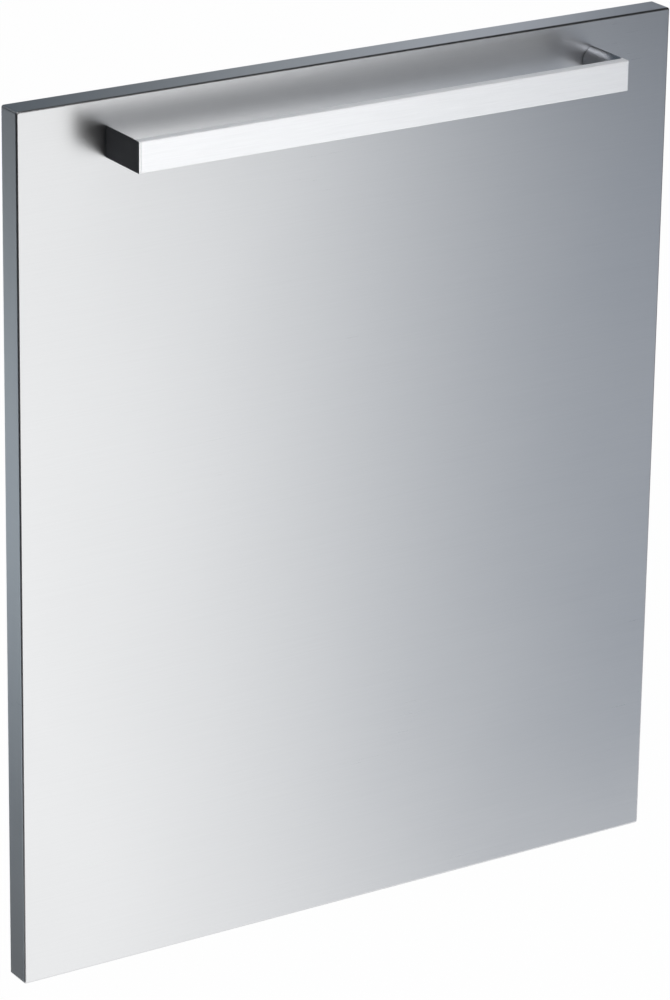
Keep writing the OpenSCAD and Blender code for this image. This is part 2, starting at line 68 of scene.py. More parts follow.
world = bpy.data.worlds.new("sweep")
bpy.context.scene.world = world
world.use_nodes = True
nodes, links = world.node_tree.nodes, world.node_tree.links
nodes.clear()
output = nodes.new("ShaderNodeOutputWorld")
path = nodes.new("ShaderNodeLightPath")
seen = nodes.new("ShaderNodeMath")
seen.operation = "MAXIMUM"
seen_through = nodes.new("ShaderNodeMath")
seen_through.operation = "MAXIMUM"
light = nodes.new("ShaderNodeBackground")
light.inputs["Color"].default_value = (*daylight, 1)
light.inputs["Strength"].default_value = world_light
white = nodes.new("ShaderNodeBackground")
white.inputs["Color"].default_value = (1, 1, 1, 1)
mix = nodes.new("ShaderNodeMixShader")
links.new(path.outputs["Is Camera Ray"], seen.inputs[0])
links.new(path.outputs["Is Glossy Ray"], seen.inputs[1])
links.new(seen.outputs[0], seen_through.inputs[0])
links.new(path.outputs["Is Transmission Ray"], seen_through.inputs[1])
links.new(seen_through.outputs[0], mix.inputs["Fac"])
links.new(light.outputs[0], mix.inputs[1])
links.new(white.outputs[0], mix.inputs[2])
links.new(mix.outputs[0], output.inputs["Surface"])

bpy.ops.mesh.primitive_plane_add(size=60, location=(0, 0, floor_z))
floor = bpy.context.object
floor.name = "floor"
paint = bpy.data.materials.new("pale_floor")
paint.use_nodes = True
nodes, links = paint.node_tree.nodes, paint.node_tree.links
nodes.clear()
output = nodes.new("ShaderNodeOutputMaterial")
matt = nodes.new("ShaderNodeBsdfDiffuse")
matt.inputs["Color"].default_value = (*floor_grey, 1)
glow = nodes.new("ShaderNodeEmission")
glow.inputs["Color"].default_value = (1, 1, 1, 1)
path = nodes.new("ShaderNodeLightPath")
seen = nodes.new("ShaderNodeMath")
seen.operation = "MAXIMUM"
share = nodes.new("ShaderNodeMath")
share.operation = "MULTIPLY"
share.inputs[1].default_value = floor_glow
mix = nodes.new("ShaderNodeMixShader")
links.new(path.outputs["Is Camera Ray"], seen.inputs[0])
links.new(path.outputs["Is Glossy Ray"], seen.inputs[1])
links.new(seen.outputs[0], share.inputs[0])
links.new(share.outputs[0], mix.inputs["Fac"])
links.new(matt.outputs[0], mix.inputs[1])
links.new(glow.outputs[0], mix.inputs[2])
links.new(mix.outputs[0], output.inputs["Surface"])
floor.data.materials.append(paint)

# ---- The studio: cards that the steel reflects ----
# Steel shows what stands round it, so cards stand on all sides: graded ones in front on
# the right, on the left, behind and below, black and grey ones elsewhere. Only
# reflections see them.
def ranged(tree, value, low, high, start=0, end=1):
    """Maps start to end of a value onto low to high."""
    span = tree.nodes.new("ShaderNodeMapRange")
    span.inputs["From Min"].default_value = start
    span.inputs["From Max"].default_value = end
    span.inputs["To Min"].default_value = low
    span.inputs["To Max"].default_value = high
    tree.links.new(value, span.inputs["Value"])
    return span.outputs["Result"]


def card(name, low, high, along, stops):
    """A flat card between two corners, glowing in each stop's colour at its place on an axis."""
    bpy.ops.object.select_all(action="DESELECT")
    bpy.ops.mesh.primitive_cube_add(size=1, location=[(a + b) / 2 for a, b in zip(low, high)])
    sheet = bpy.context.object
    sheet.name = name
    sheet.scale = [max(b - a, card_thick) for a, b in zip(low, high)]
    bpy.ops.object.transform_apply(location=True, rotation=True, scale=True)
    sheet.visible_camera = False
    sheet.visible_diffuse = False
    sheet.visible_shadow = False
    sheet.visible_transmission = False
    mat = bpy.data.materials.new(name)
    mat.use_nodes = True
    nodes, links = mat.node_tree.nodes, mat.node_tree.links
    nodes.clear()
    output = nodes.new("ShaderNodeOutputMaterial")
    glow = nodes.new("ShaderNodeEmission")
    place = nodes.new("ShaderNodeTexCoord")
    split = nodes.new("ShaderNodeSeparateXYZ")
    links.new(place.outputs["Object"], split.inputs[0])
    first, last = stops[0][0], stops[-1][0]
    ramp = nodes.new("ShaderNodeValToRGB")
    ramp.color_ramp.interpolation = "EASE"
    marks = ramp.color_ramp.elements
    for at, colour in stops[1:-1]:
        marks.new((at - first) / (last - first))
    for mark, (at, colour) in zip(marks, stops):
        mark.position = (at - first) / (last - first)
        mark.color = (*colour, 1)
    links.new(ranged(mat.node_tree, split.outputs[along], 0, 1, first, last), ramp.inputs["Fac"])
    links.new(ramp.outputs["Color"], glow.inputs["Color"])
    links.new(glow.outputs[0], output.inputs["Surface"])
    sheet.data.materials.append(mat)


def plain(level):
    """The two stops of a card that is the same grey all over."""
    return [(0, [level] * 3), (1, [level] * 3)]


card_thick = 0.002
front_y, rear_y = -1.2, 1.4
left_x, right_x = -1.4, 2.6
far_left = -3
top_z = 2.2
front_left, front_top = -0.22, 0.4
side_top, side_y = 0.55, 0.2
rear_split = 0.35
before_front = front_y + 0.01
above_floor = floor_z + 0.01

card("front_card", (front_left, front_y, floor_z), (right_x, front_y, front_top), "X",
     [(0.37, (1.26, 1.26, 1.25)), (1.10, (0.305, 0.34, 0.395))])
card("black_card_left", (far_left, front_y, floor_z), (front_left, front_y, side_top), "X", plain(0.01))
card("grey_card_left", (far_left, front_y, side_top), (front_left, front_y, top_z), "X", plain(0.18))
card("black_card_above", (front_left, front_y, front_top), (right_x, front_y, top_z), "X", plain(0.015))
card("black_card_corner", (0.85, before_front, 0.04), (right_x, before_front, front_top), "X",
     plain(0.015))
card("post_card", (-0.15, before_front, 0.9), (0.3, before_front, 1.5), "X", plain(2.2))
card("ceiling_card", (far_left, front_y, top_z), (right_x, rear_y, top_z), "X",
     [(0.1, (0.30, 0.31, 0.33)), (0.65, (0.015, 0.015, 0.015))])
card("right_card", (right_x, front_y, floor_z), (right_x, rear_y, top_z), "Y", plain(0.04))
card("rear_card", (left_x, rear_y, rear_split), (right_x, rear_y, top_z), "X",
     [(0.47, (0.09, 0.11, 0.13)), (0.6, (0.16, 0.18, 0.20)), (0.85, (0.33, 0.36, 0.39)),
      (1.13, (0.50, 0.53, 0.58)), (1.35, (0.21, 0.235, 0.27))])
card("high_card", (-1.15, 1.25, 0.9), (-0.6, 1.25, 1.5), "X", plain(0.3))
card("black_card_side", (left_x, front_y, floor_z), (left_x, side_y, side_top), "Y", plain(0.01))
card("grey_card_side", (left_x, front_y, side_top), (left_x, side_y, top_z), "Y", plain(0.14))
card("left_card", (left_x, side_y, floor_z), (left_x, 3, 1.6), "Z",
     [(-1.1, (0.06, 0.07, 0.08)), (-0.75, (0.82, 0.93, 1.02)), (-0.48, (0.12, 0.145, 0.165)),
      (-0.25, (0.01, 0.015, 0.02))])
card("low_card", (far_left, -0.4, above_floor), (-0.75, 3.2, above_floor), "Y",
     [(1.5, (0.002, 0.002, 0.003)), (2.1, (0.07, 0.085, 0.10))])
card("low_card_right", (0.36, 0.15, above_floor), (right_x, rear_y, above_floor), "Y",
     [(0.2, (0.20, 0.215, 0.235)), (0.8, (0.40, 0.42, 0.45)), (1.3, (0.75, 0.77, 0.80))])
card("rear_low_card", (-0.4, rear_y, floor_z), (right_x, rear_y, rear_split), "X",
     [(-0.3, (1.0, 1.02, 1.05)), (0.5, (0.55, 0.57, 0.60)), (1.9, (0.30, 0.32, 0.35))])

# ---- The studio: lamps ----
# Soft boxes for what isn't polished: one in front on the left, one above, and one low
# behind the panel. The steel itself is lit by the cards.
def soft_box(name, place, look_at, width, height, watts):
    """An area lamp of that size, turned to shine at a point, that no reflection shows."""
    bpy.ops.object.light_add(type="AREA", location=place)
    lamp = bpy.context.object
    lamp.name = name
    lamp.data.shape = "RECTANGLE"
    lamp.data.size = width
    lamp.data.size_y = height
    lamp.data.energy = watts
    aim = [b - a for a, b in zip(place, look_at)]
    flat = math.hypot(aim[0], aim[1])
    lamp.rotation_euler = (math.atan2(flat, -aim[2]), 0, math.atan2(aim[1], aim[0]) - math.pi / 2)
    lamp.visible_camera = False
    lamp.visible_glossy = False


soft_box("front_box", (-0.2, -1.15, 0.5), (-0.05, 0, 0.1), width=1.0, height=0.7, watts=8)
soft_box("top_box", (-0.1, -0.3, 1.7), (0, 0, 0.3), width=0.9, height=0.6, watts=7)
soft_box("rear_box", (0.9, 1.3, -0.2), (0, 0, 0), width=0.9, height=0.9, watts=10)

# ---- The skin ----
# One folded sheet of stainless steel, ground with long fine lines that run from side to
# side. The grain stretches what it reflects up and down, at right angles to its lines.
def material(name, metal=0):
    """A new material: itself, its node tree, its shader and its texture coordinates."""
    mat = bpy.data.materials.new(name)
    mat.use_nodes = True
    tree = mat.node_tree
    shader = tree.nodes["Principled BSDF"]
    shader.inputs["Metallic"].default_value = metal
    return mat, tree, shader, tree.nodes.new("ShaderNodeTexCoord").outputs


def noise(tree, place, scale, detail=2):
    """A noise texture over those coordinates."""
    texture = tree.nodes.new("ShaderNodeTexNoise")
    texture.inputs["Scale"].default_value = scale
    texture.inputs["Detail"].default_value = detail
    tree.links.new(place, texture.inputs["Vector"])
    return texture


def shaded(tree, shader, colour, share):
    """Gives the shader the colour times a share that varies over the surface."""
    tone = tree.nodes.new("ShaderNodeVectorMath")
    tone.operation = "SCALE"
    tone.inputs[0].default_value = colour
    tree.links.new(share, tone.inputs["Scale"])
    tree.links.new(tone.outputs["Vector"], shader.inputs["Base Color"])


def bumped(tree, shader, height, strength, distance):
    """Gives the shader a fine relief, distance deep in metres."""
    relief = tree.nodes.new("ShaderNodeBump")
    relief.inputs["Strength"].default_value = strength
    relief.inputs["Distance"].default_value = distance
    tree.links.new(height, relief.inputs["Height"])
    tree.links.new(relief.outputs["Normal"], shader.inputs["Normal"])


grain_fine = 1600


def ground_steel(name, colour, roughness, spread, lines, streak, depth, contrast, metal=1):
    """Ground stainless steel. lines is the axis that the grinding runs along, X or Z.

    streak is the grain's scale along the lines, depth its relief, contrast its shade."""
    mat, tree, shader, place = material(name, metal)
    nodes, links = tree.nodes, tree.links
    shader.inputs["Anisotropic"].default_value = spread
    along, across = ("X", "Z") if lines == "X" else ("Z", "X")
    # where the surface faces along the across axis, the lines lie side by side along Y
    split = nodes.new("ShaderNodeSeparateXYZ")
    facing = nodes.new("ShaderNodeSeparateXYZ")
    links.new(place["Object"], split.inputs[0])
    links.new(place["Normal"], facing.inputs[0])
    turned_away = nodes.new("ShaderNodeMath")
    turned_away.operation = "ABSOLUTE"
    links.new(facing.outputs[across], turned_away.inputs[0])
    beside = nodes.new("ShaderNodeMix")
    beside.data_type = "FLOAT"
    links.new(turned_away.outputs[0], beside.inputs["Factor"])
    links.new(split.outputs[across], beside.inputs[2])
    links.new(split.outputs["Y"], beside.inputs[3])
    grid = nodes.new("ShaderNodeCombineXYZ")
    links.new(split.outputs[along], grid.inputs["X"])
    links.new(beside.outputs[0], grid.inputs["Y"])
    links.new(split.outputs["Y"], grid.inputs["Z"])
    stretch = nodes.new("ShaderNodeMapping")
    stretch.inputs["Scale"].default_value = (streak, grain_fine, streak)
    links.new(grid.outputs[0], stretch.inputs["Vector"])
    grain = noise(tree, stretch.outputs[0], 1, 4)
    grain.inputs["Roughness"].default_value = 0.65
    haze = noise(tree, place["Object"], 5, 3)
    shaded(tree, shader, colour, ranged(tree, grain.outputs["Fac"], 1 - contrast, 1, 0.3, 0.7))
    blend = nodes.new("ShaderNodeMath")
    blend.operation = "ADD"
    links.new(grain.outputs["Fac"], blend.inputs[0])
    links.new(haze.outputs["Fac"], blend.inputs[1])
    gloss = ranged(tree, blend.outputs[0], roughness - 0.03, roughness + 0.03, 0.6, 1.4)
    links.new(gloss, shader.inputs["Roughness"])
    bumped(tree, shader, grain.outputs["Fac"], depth, 0.00002)
    geometry = nodes.new("ShaderNodeNewGeometry")
    cross = nodes.new("ShaderNodeVectorMath")
    cross.operation = "CROSS_PRODUCT"
    cross.inputs[1].default_value = (1, 0.001, 0) if lines == "X" else (0, 0.001, 1)
    unit = nodes.new("ShaderNodeVectorMath")
    unit.operation = "NORMALIZE"
    links.new(geometry.outputs["Normal"], cross.inputs[0])
    links.new(cross.outputs[0], unit.inputs[0])
    links.new(unit.outputs[0], shader.inputs["Tangent"])
    return mat


def finish(node, mat):
    """Gives a CAD node its finish."""
    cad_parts[node].data.materials.clear()
    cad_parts[node].data.materials.append(mat)


skin_steel = ground_steel("skin_steel", (0.75, 0.755, 0.765), roughness=0.30, spread=0.3, lines="X",
                          streak=12, depth=0.1, contrast=0.03)
finish("front_skin", skin_steel)

# ---- The back sheet ----
# Thin galvanised sheet, held under the folded lips. Its zinc has frozen in flat crystals,
# each with its own shade and gloss.
def zinc_coat(name, colour, crystal, contrast, roughness):
    """Zinc with crystals of that size, in metres."""
    mat, tree, shader, place = material(name, metal=1)
    nodes, links = tree.nodes, tree.links
    ripple = noise(tree, place["Object"], 1.5 / crystal)
    warp = nodes.new("ShaderNodeVectorMath")
    warp.operation = "MULTIPLY_ADD"
    warp.inputs[1].default_value = (crystal / 2,) * 3
    links.new(ripple.outputs["Color"], warp.inputs[0])
    links.new(place["Object"], warp.inputs[2])
    cells = nodes.new("ShaderNodeTexVoronoi")
    cells.inputs["Scale"].default_value = 1 / crystal
    links.new(warp.outputs[0], cells.inputs["Vector"])
    grey = nodes.new("ShaderNodeSeparateColor")
    links.new(cells.outputs["Color"], grey.inputs[0])
    fine = noise(tree, place["Object"], 900, 3)
    both = nodes.new("ShaderNodeMath")
    both.operation = "ADD"
    links.new(grey.outputs[0], both.inputs[0])
    links.new(fine.outputs["Fac"], both.inputs[1])
    shaded(tree, shader, colour, ranged(tree, both.outputs[0], 1 - contrast, 1, 0, 2))
    gloss = ranged(tree, both.outputs[0], roughness - 0.08, roughness + 0.08, 0, 2)
    links.new(gloss, shader.inputs["Roughness"])
    return mat


sheet_zinc = zinc_coat("galvanised_sheet", (0.66, 0.68, 0.70), crystal=0.014, contrast=0.3,
                       roughness=0.42)
finish("back_sheet", sheet_zinc)

# ---- The wood inside ----
# Rails, stiles and the two hanger blocks are solid wood, glued between the sheets. The
# grain follows each piece's length: rails along X, stiles and blocks along Z.
def wood(name, along):
    """Planed light wood with its grain along X or Z."""
    mat, tree, shader, place = material(name)
    shader.inputs["Roughness"].default_value = 0.75
    stretch = tree.nodes.new("ShaderNodeMapping")
    stretch.inputs["Scale"].default_value = (12, 160, 160) if along == "X" else (160, 160, 12)
    tree.links.new(place["Object"], stretch.inputs["Vector"])
    rings = noise(tree, stretch.outputs[0], 1, 6)
    rings.inputs["Distortion"].default_value = 0.4
    ramp = tree.nodes.new("ShaderNodeValToRGB")
    ramp.color_ramp.elements[0].position = 0.35
    ramp.color_ramp.elements[0].color = (0.42, 0.27, 0.14, 1)
    ramp.color_ramp.elements[1].position = 0.65
    ramp.color_ramp.elements[1].color = (0.68, 0.50, 0.30, 1)
    tree.links.new(rings.outputs["Fac"], ramp.inputs["Fac"])
    tree.links.new(ramp.outputs["Color"], shader.inputs["Base Color"])
    return mat


rail_wood = wood("rail_wood", "X")
stile_wood = wood("stile_wood", "Z")
for rail in ("top_rail", "bottom_rail"):
    finish(rail, rail_wood)
for upright in ("left_stile", "right_stile", "left_hanger_block", "right_hanger_block"):
    finish(upright, stile_wood)

# ---- The honeycomb ----
# Kraft paper glued into hexagonal cells. It fills the panel between the wood and keeps
# the two sheets apart.
def paper(name, colour):
    """Brown paper with a few darker fibres."""
    mat, tree, shader, place = material(name)
    shader.inputs["Roughness"].default_value = 0.9
    fibres = noise(tree, place["Object"], 350, 5)
    shaded(tree, shader, colour, ranged(tree, fibres.outputs["Fac"], 0.7, 1.15))
    return mat


finish("honeycomb_core", paper("kraft_paper", (0.50, 0.36, 0.22)))

# ---- The handle: bar ----
# A flat rectangular steel tube, ground lengthways to a satin finish, light and half matt.
# Its ends are closed by the posts' end plates, and two set screws sit under it.
def only(piece):
    """Selects that piece alone."""
    bpy.ops.object.select_all(action="DESELECT")
    piece.select_set(True)
    bpy.context.view_layer.objects.active = piece


def pick(piece, edges=None, faces=None):
    """Goes into edit mode with those edges or faces selected, found by a test of their place."""
    only(piece)
    bpy.ops.object.mode_set(mode="EDIT")
    bpy.ops.mesh.select_mode(type="EDGE" if edges else "FACE")
    bpy.ops.mesh.select_all(action="DESELECT")
    bpy.ops.object.mode_set(mode="OBJECT")
    mesh = piece.data
    if edges:
        for edge in mesh.edges:
            edge.select = edges(*[mesh.vertices[v].co for v in edge.vertices])
    else:
        for face in mesh.polygons:
            face.select = faces(face.center, face.normal)
    bpy.ops.object.mode_set(mode="EDIT")


def round_edges(piece, radius, segments, edges):
    """Rounds the edges that pass the test."""
    pick(piece, edges)
    bpy.ops.mesh.bevel(offset=radius, segments=segments)
    bpy.ops.object.mode_set(mode="OBJECT")


def block(name, low, high):
    """A box between two corners, ready to be shaped."""
    bpy.ops.object.select_all(action="DESELECT")
    bpy.ops.mesh.primitive_cube_add(size=1, location=[(a + b) / 2 for a, b in zip(low, high)])
    piece = bpy.context.object
    piece.name = name
    piece.scale = [b - a for a, b in zip(low, high)]
    bpy.ops.object.transform_apply(location=True, rotation=True, scale=True)
    return piece


def disc(name, place, radius, depth, axis="Y", sides=64):
    """A round bar from place along +Y or +Z, ready to be shaped."""
    bpy.ops.object.select_all(action="DESELECT")
    middle = list(place)
    middle["XYZ".index(axis)] += depth / 2
    turn = (math.pi / 2, 0, 0) if axis == "Y" else (0, 0, 0)
    bpy.ops.mesh.primitive_cylinder_add(vertices=sides, radius=radius, depth=depth,
                                        location=middle, rotation=turn)
    piece = bpy.context.object
    piece.name = name
    bpy.ops.object.transform_apply(location=True, rotation=True, scale=True)
    return piece


def combine(piece, tool, operation):
    """Cuts the tool out of the piece, or joins the two into one solid."""
    step = piece.modifiers.new("combine", "BOOLEAN")
    step.operation = operation
    step.solver = "EXACT"
    step.object = tool
    bpy.context.view_layer.objects.active = piece
    bpy.ops.object.modifier_apply(modifier=step.name)
    bpy.data.objects.remove(tool, do_unlink=True)


def smooth(piece, angle=32):
    """Shades a round piece smooth, but for edges sharper than the angle."""
    only(piece)
    bpy.ops.object.shade_smooth_by_angle(angle=math.radians(angle))


def keep_flats(piece):
    """Shades the broken edges round and leaves the flats between them flat."""
    only(piece)
    bpy.ops.mesh.customdata_custom_splitnormals_clear()
    smooth(piece, 35)
    flats = piece.modifiers.new("flats", "WEIGHTED_NORMAL")
    flats.weight = 100
    flats.keep_sharp = True
    bpy.ops.object.modifier_apply(modifier=flats.name)


def soften(piece, width):
    """Breaks the sharp edges of a finished shape."""
    only(piece)
    step = piece.modifiers.new("soften", "BEVEL")
    step.width = width
    step.segments = 2
    step.limit_method = "ANGLE"
    step.angle_limit = math.radians(30)
    bpy.ops.object.modifier_apply(modifier=step.name)
    keep_flats(piece)


def fit(piece, mat, slot, body, *nodes):
    """Gives a new piece its finish and its place among the bodies, in place of CAD nodes."""
    piece.data.materials.clear()
    piece.data.materials.append(mat)
    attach(piece, body)
    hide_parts(*nodes)


bar_steel = ground_steel("bar_steel", (0.94, 0.94, 0.945), roughness=0.45, spread=0.2, lines="X",
                         streak=30, depth=0.2, contrast=0.06, metal=0.64)
bar_low, bar_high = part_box("handle_bar")
bar_mid = [(a + b) / 2 for a, b in zip(bar_low, bar_high)]
grub_low, grub_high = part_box("bar_grub_screws")
tube_wall = 0.0012
long_edge = 0.001
rim_edge = 0.0004
notch_long, notch_high = 0.006, 0.016
seam = 0.0003
grub_r = 0.002
grub_hole = 0.0022
# cutters, and parts that join another, reach this far past its face
past = 0.001

bar = block("bar", (bar_low[0] + seam, *bar_low[1:]), bar_high)
round_edges(bar, long_edge, 5, lambda a, b: abs(a.x - b.x) > 0.1)
pick(bar, faces=lambda middle, normal: abs(normal.x) > 0.9)
bpy.ops.mesh.delete(type="FACE")
bpy.ops.object.mode_set(mode="OBJECT")
walls = bar.modifiers.new("walls", "SOLIDIFY")
walls.thickness = tube_wall
walls.offset = -1
walls.use_even_offset = True
bpy.ops.object.modifier_apply(modifier="walls")
for side in (-1, 1):
    place = (side * (grub_high[0] - grub_r), bar_mid[1], bar_low[2] - past)
    combine(bar, disc("drill", place, grub_hole, 3 * past, "Z", 32), "DIFFERENCE")
    inner, outer = sorted((side * (bar_high[0] - notch_long), side * (bar_high[0] + past)))
    combine(bar, block("slot_cutter", (inner, bar_mid[1], bar_mid[2] - notch_high / 2),
                       (outer, bar_high[1] + past, bar_mid[2] + notch_high / 2)), "DIFFERENCE")
soften(bar, rim_edge)
fit(bar, bar_steel, "handle_steel", "panel", "handle_bar")

# ---- The handle: posts ----
# Each post is flat on the outside and round towards the middle of the handle. Its end
# plate closes the bar, and a tongue reaches into the tube, where a set screw holds it. A
# screw and a pin enter its foot from behind the panel.
post_steel = ground_steel("post_steel", (0.56, 0.58, 0.63), roughness=0.24, spread=0.4, lines="Z",
                          streak=30, depth=0.3, contrast=0.12)
post_low, post_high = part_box("left_handle_post")
foot_low, foot_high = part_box("handle_foot_screws")
pin_low, pin_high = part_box("locating_pins")
half_high = (bar_high[2] - bar_low[2]) / 2
crown = 0.009
round_radius = (half_high ** 2 + crown ** 2) / (2 * crown)
outer_x = post_low[0]
plate_x = bar_low[0]
foot_y = post_high[1]
clearance = 0.0002
plug_wall = tube_wall + clearance
inside_x = plate_x - 0.0005
foot_head = 0.00475
foot_x = foot_high[0] - foot_head
foot_tap = 0.00255
tapped = foot_low[1] - 0.002
pin_r = (pin_high[2] - pin_low[2]) / 2
tap_gap = 0.00005

bpy.ops.object.select_all(action="DESELECT")
bpy.ops.mesh.primitive_cylinder_add(
    vertices=128, radius=round_radius, depth=foot_y - bar_high[1], rotation=(math.pi / 2, 0, 0),
    location=(outer_x + crown - round_radius, (foot_y + bar_high[1]) / 2, bar_mid[2]))
post = bpy.context.object
post.name = "left_post"
bpy.ops.object.transform_apply(location=True, rotation=True, scale=True)
bpy.ops.object.mode_set(mode="EDIT")
bpy.ops.mesh.select_all(action="SELECT")
bpy.ops.mesh.bisect(plane_co=(outer_x, 0, 0), plane_no=(-1, 0, 0), clear_outer=True, use_fill=True)
bpy.ops.object.mode_set(mode="OBJECT")
plate = block("plate", (outer_x, bar_low[1], bar_low[2]), (plate_x, bar_high[1] + past, bar_high[2]))
round_edges(plate, long_edge, 5, lambda a, b: abs(a.x - b.x) > 0.001 and a.y < bar_mid[1])
combine(post, plate, "UNION")
tongue = block("tongue", (inside_x, bar_low[1] + plug_wall, bar_low[2] + plug_wall),
               (post_high[0], bar_high[1] - plug_wall, bar_high[2] - plug_wall))
combine(post, tongue, "UNION")
neck = block("neck", (inside_x, bar_mid[1], bar_mid[2] - notch_high / 2 + clearance),
             (plate_x + notch_long - clearance, bar_high[1] + past,
              bar_mid[2] + notch_high / 2 - clearance))
combine(post, neck, "UNION")
combine(post, disc("tap", (-foot_x, tapped, bar_mid[2]), foot_tap, foot_y + past - tapped),
        "DIFFERENCE")
combine(post, disc("tap", (pin_low[0] + pin_r, pin_low[1], (pin_low[2] + pin_high[2]) / 2),
                   pin_r + tap_gap, foot_y + past - pin_low[1]), "DIFFERENCE")
combine(post, disc("tap", (grub_low[0] + grub_r, bar_mid[1], bar_low[2]),
                   grub_r + tap_gap, grub_high[2] + past - bar_low[2], "Z"), "DIFFERENCE")
soften(post, 0.00035)

only(post)
bpy.ops.object.duplicate()
other_post = bpy.context.object
other_post.name = "right_post"
bpy.ops.transform.mirror(constraint_axis=(True, False, False), orient_type="GLOBAL",
                         center_override=(0, 0, 0))
bpy.ops.object.transform_apply(location=True, rotation=True, scale=True)
bpy.ops.object.mode_set(mode="EDIT")
bpy.ops.mesh.select_all(action="SELECT")
bpy.ops.mesh.normals_make_consistent(inside=False)
bpy.ops.object.mode_set(mode="OBJECT")
keep_flats(other_post)
fit(post, post_steel, "handle_steel", "panel", "left_handle_post")
fit(other_post, post_steel, "handle_steel", "panel", "right_handle_post")
# the end plates' fronts are ground together with the bar
for one in (post, other_post):
    one.data.materials.append(bar_steel)
    for face in one.data.polygons:
        if face.center.y < bar_high[1] and abs(face.center.x) > -plate_x and abs(face.normal.x) < 0.7:
            face.material_index = 1

# ---- The handle: what holds it ----
# Rubber pads lie between the posts and the steel. Zinc plated pins, screws, washers and
# sleeves hold the posts from behind, and set screws hold the bar on the tongues.
def rubber(name, colour):
    """Dull moulded rubber, a little dusty."""
    mat, tree, shader, place = material(name)
    dust = noise(tree, place["Object"], 260, 4).outputs["Fac"]
    shaded(tree, shader, colour, ranged(tree, dust, 0.7, 1.5))
    tree.links.new(ranged(tree, dust, 0.6, 0.85), shader.inputs["Roughness"])
    bumped(tree, shader, dust, 0.15, 0.0001)
    return mat


def plated(name, colour, roughness, blotch):
    """Plated or turned metal with fine tool marks and slightly uneven colour."""
    mat, tree, shader, place = material(name, metal=1)
    stain = noise(tree, place["Object"], 180, 5).outputs["Fac"]
    ramp = tree.nodes.new("ShaderNodeValToRGB")
    ramp.color_ramp.elements[0].position = 0.3
    ramp.color_ramp.elements[0].color = (*[c * (1 - blotch) for c in colour], 1)
    ramp.color_ramp.elements[1].position = 0.7
    ramp.color_ramp.elements[1].color = (*colour, 1)
    tree.links.new(stain, ramp.inputs["Fac"])
    tree.links.new(ramp.outputs["Color"], shader.inputs["Base Color"])
    gloss = ranged(tree, stain, roughness - 0.08, roughness + 0.12)
    tree.links.new(gloss, shader.inputs["Roughness"])
    marks = noise(tree, place["Object"], 2500, 2)
    bumped(tree, shader, marks.outputs["Fac"], 0.12, 0.00003)
    return mat


pad_rubber = rubber("pad_rubber", (0.03, 0.03, 0.032))
for pad in ("left_post_gasket", "right_post_gasket"):
    finish(pad, pad_rubber)
zinc_plate = plated("zinc_plate", (0.72, 0.74, 0.77), roughness=0.32, blotch=0.18)
for fixing in ("locating_pins", "foot_screw_washers", "foot_screw_sleeves", "bar_grub_screws"):
    finish(fixing, zinc_plate)


def turned(name, place, axis, rows, sides=32, thread=None):
    """A turned piece along +Y or +Z from place: rows are (distance, radius) from its first end.

    thread is (from, to, pitch, depth): there the radius dips in a helix, right-handed."""
    steps = list(rows)
    if thread:
        begin, end, pitch, depth = thread
        count = round((end - begin) / pitch * 6)
        crest = next(r for d, r in rows if d >= begin)
        steps = [row for row in rows if row[0] < begin]
        steps += [(begin + (end - begin) * n / count, crest) for n in range(count + 1)]
        steps += [row for row in rows if row[0] > end]
    bpy.ops.object.select_all(action="DESELECT")
    bpy.ops.mesh.primitive_grid_add(x_subdivisions=sides, y_subdivisions=len(steps) - 1, size=1)
    piece = bpy.context.object
    piece.name = name
    for point in piece.data.vertices:
        turn = (point.co.x + 0.5) * 2 * math.pi
        along, radius = steps[round((point.co.y + 0.5) * (len(steps) - 1))]
        if thread and begin <= along <= end:
            fade = min(1, (along - begin) / pitch, (end - along) / pitch)
            phase = (along / pitch - turn / (2 * math.pi)) % 1
            radius -= depth * fade * abs(2 * phase - 1)
        across = (radius * math.cos(turn), radius * math.sin(turn))
        if axis == "Z":
            point.co = (place[0] + across[0], place[1] + across[1], place[2] + along)
        else:
            point.co = (place[0] - across[0], place[1] + along, place[2] + across[1])
    bpy.ops.object.mode_set(mode="EDIT")
    bpy.ops.mesh.select_all(action="SELECT")
    bpy.ops.mesh.remove_doubles(threshold=0.000001)
    bpy.ops.mesh.fill_holes(sides=0)
    bpy.ops.mesh.select_all(action="SELECT")
    bpy.ops.mesh.normals_make_consistent(inside=False)
    bpy.ops.object.mode_set(mode="OBJECT")
    return piece


def key_socket(piece, place, across, depth, axis="Y"):
    """Cuts a hexagon socket of that size across its flats into a head, down from place."""
    start = list(place)
    start["XYZ".index(axis)] -= depth
    key = disc("key", start, across / math.sqrt(3), depth + past, axis, 6)
    combine(piece, key, "DIFFERENCE")
    smooth(piece)


def repeat(piece, steps, name=None):
    """Copies a piece by each step, then joins them all, or leaves one copy under a new name."""
    copies = []
    for step in steps:
        only(piece)
        bpy.ops.object.duplicate()
        copy = bpy.context.object
        bpy.ops.transform.translate(value=step)
        bpy.ops.object.transform_apply(location=True, rotation=True, scale=True)
        copies.append(copy)
    if name:
        copies[0].name = name
        return copies[0]
    only(piece)
    for copy in copies:
        copy.select_set(True)
    bpy.ops.object.join()
    return piece


shank = 0.0025
threaded = 0.016
foot_long = foot_high[1] - foot_low[1]
under_head = foot_high[1] - 0.0032 - foot_low[1]
foot_screws = turned("foot_screws", (-foot_x, foot_low[1], bar_mid[2]), "Y",
                     [(0, shank - 0.0006), (0.0006, shank), (threaded, shank), (0.0165, shank),
                      (under_head, shank), (under_head, foot_head),
                      (foot_long - 0.0005, foot_head), (foot_long, foot_head - 0.0005)],
                     thread=(0.0008, threaded, 0.0008, 0.0004))
key_socket(foot_screws, (-foot_x, foot_high[1], bar_mid[2]), across=0.003, depth=0.002)
repeat(foot_screws, [(2 * foot_x, 0, 0)])
fit(foot_screws, zinc_plate, "zinc_steel", "panel", "handle_foot_screws")

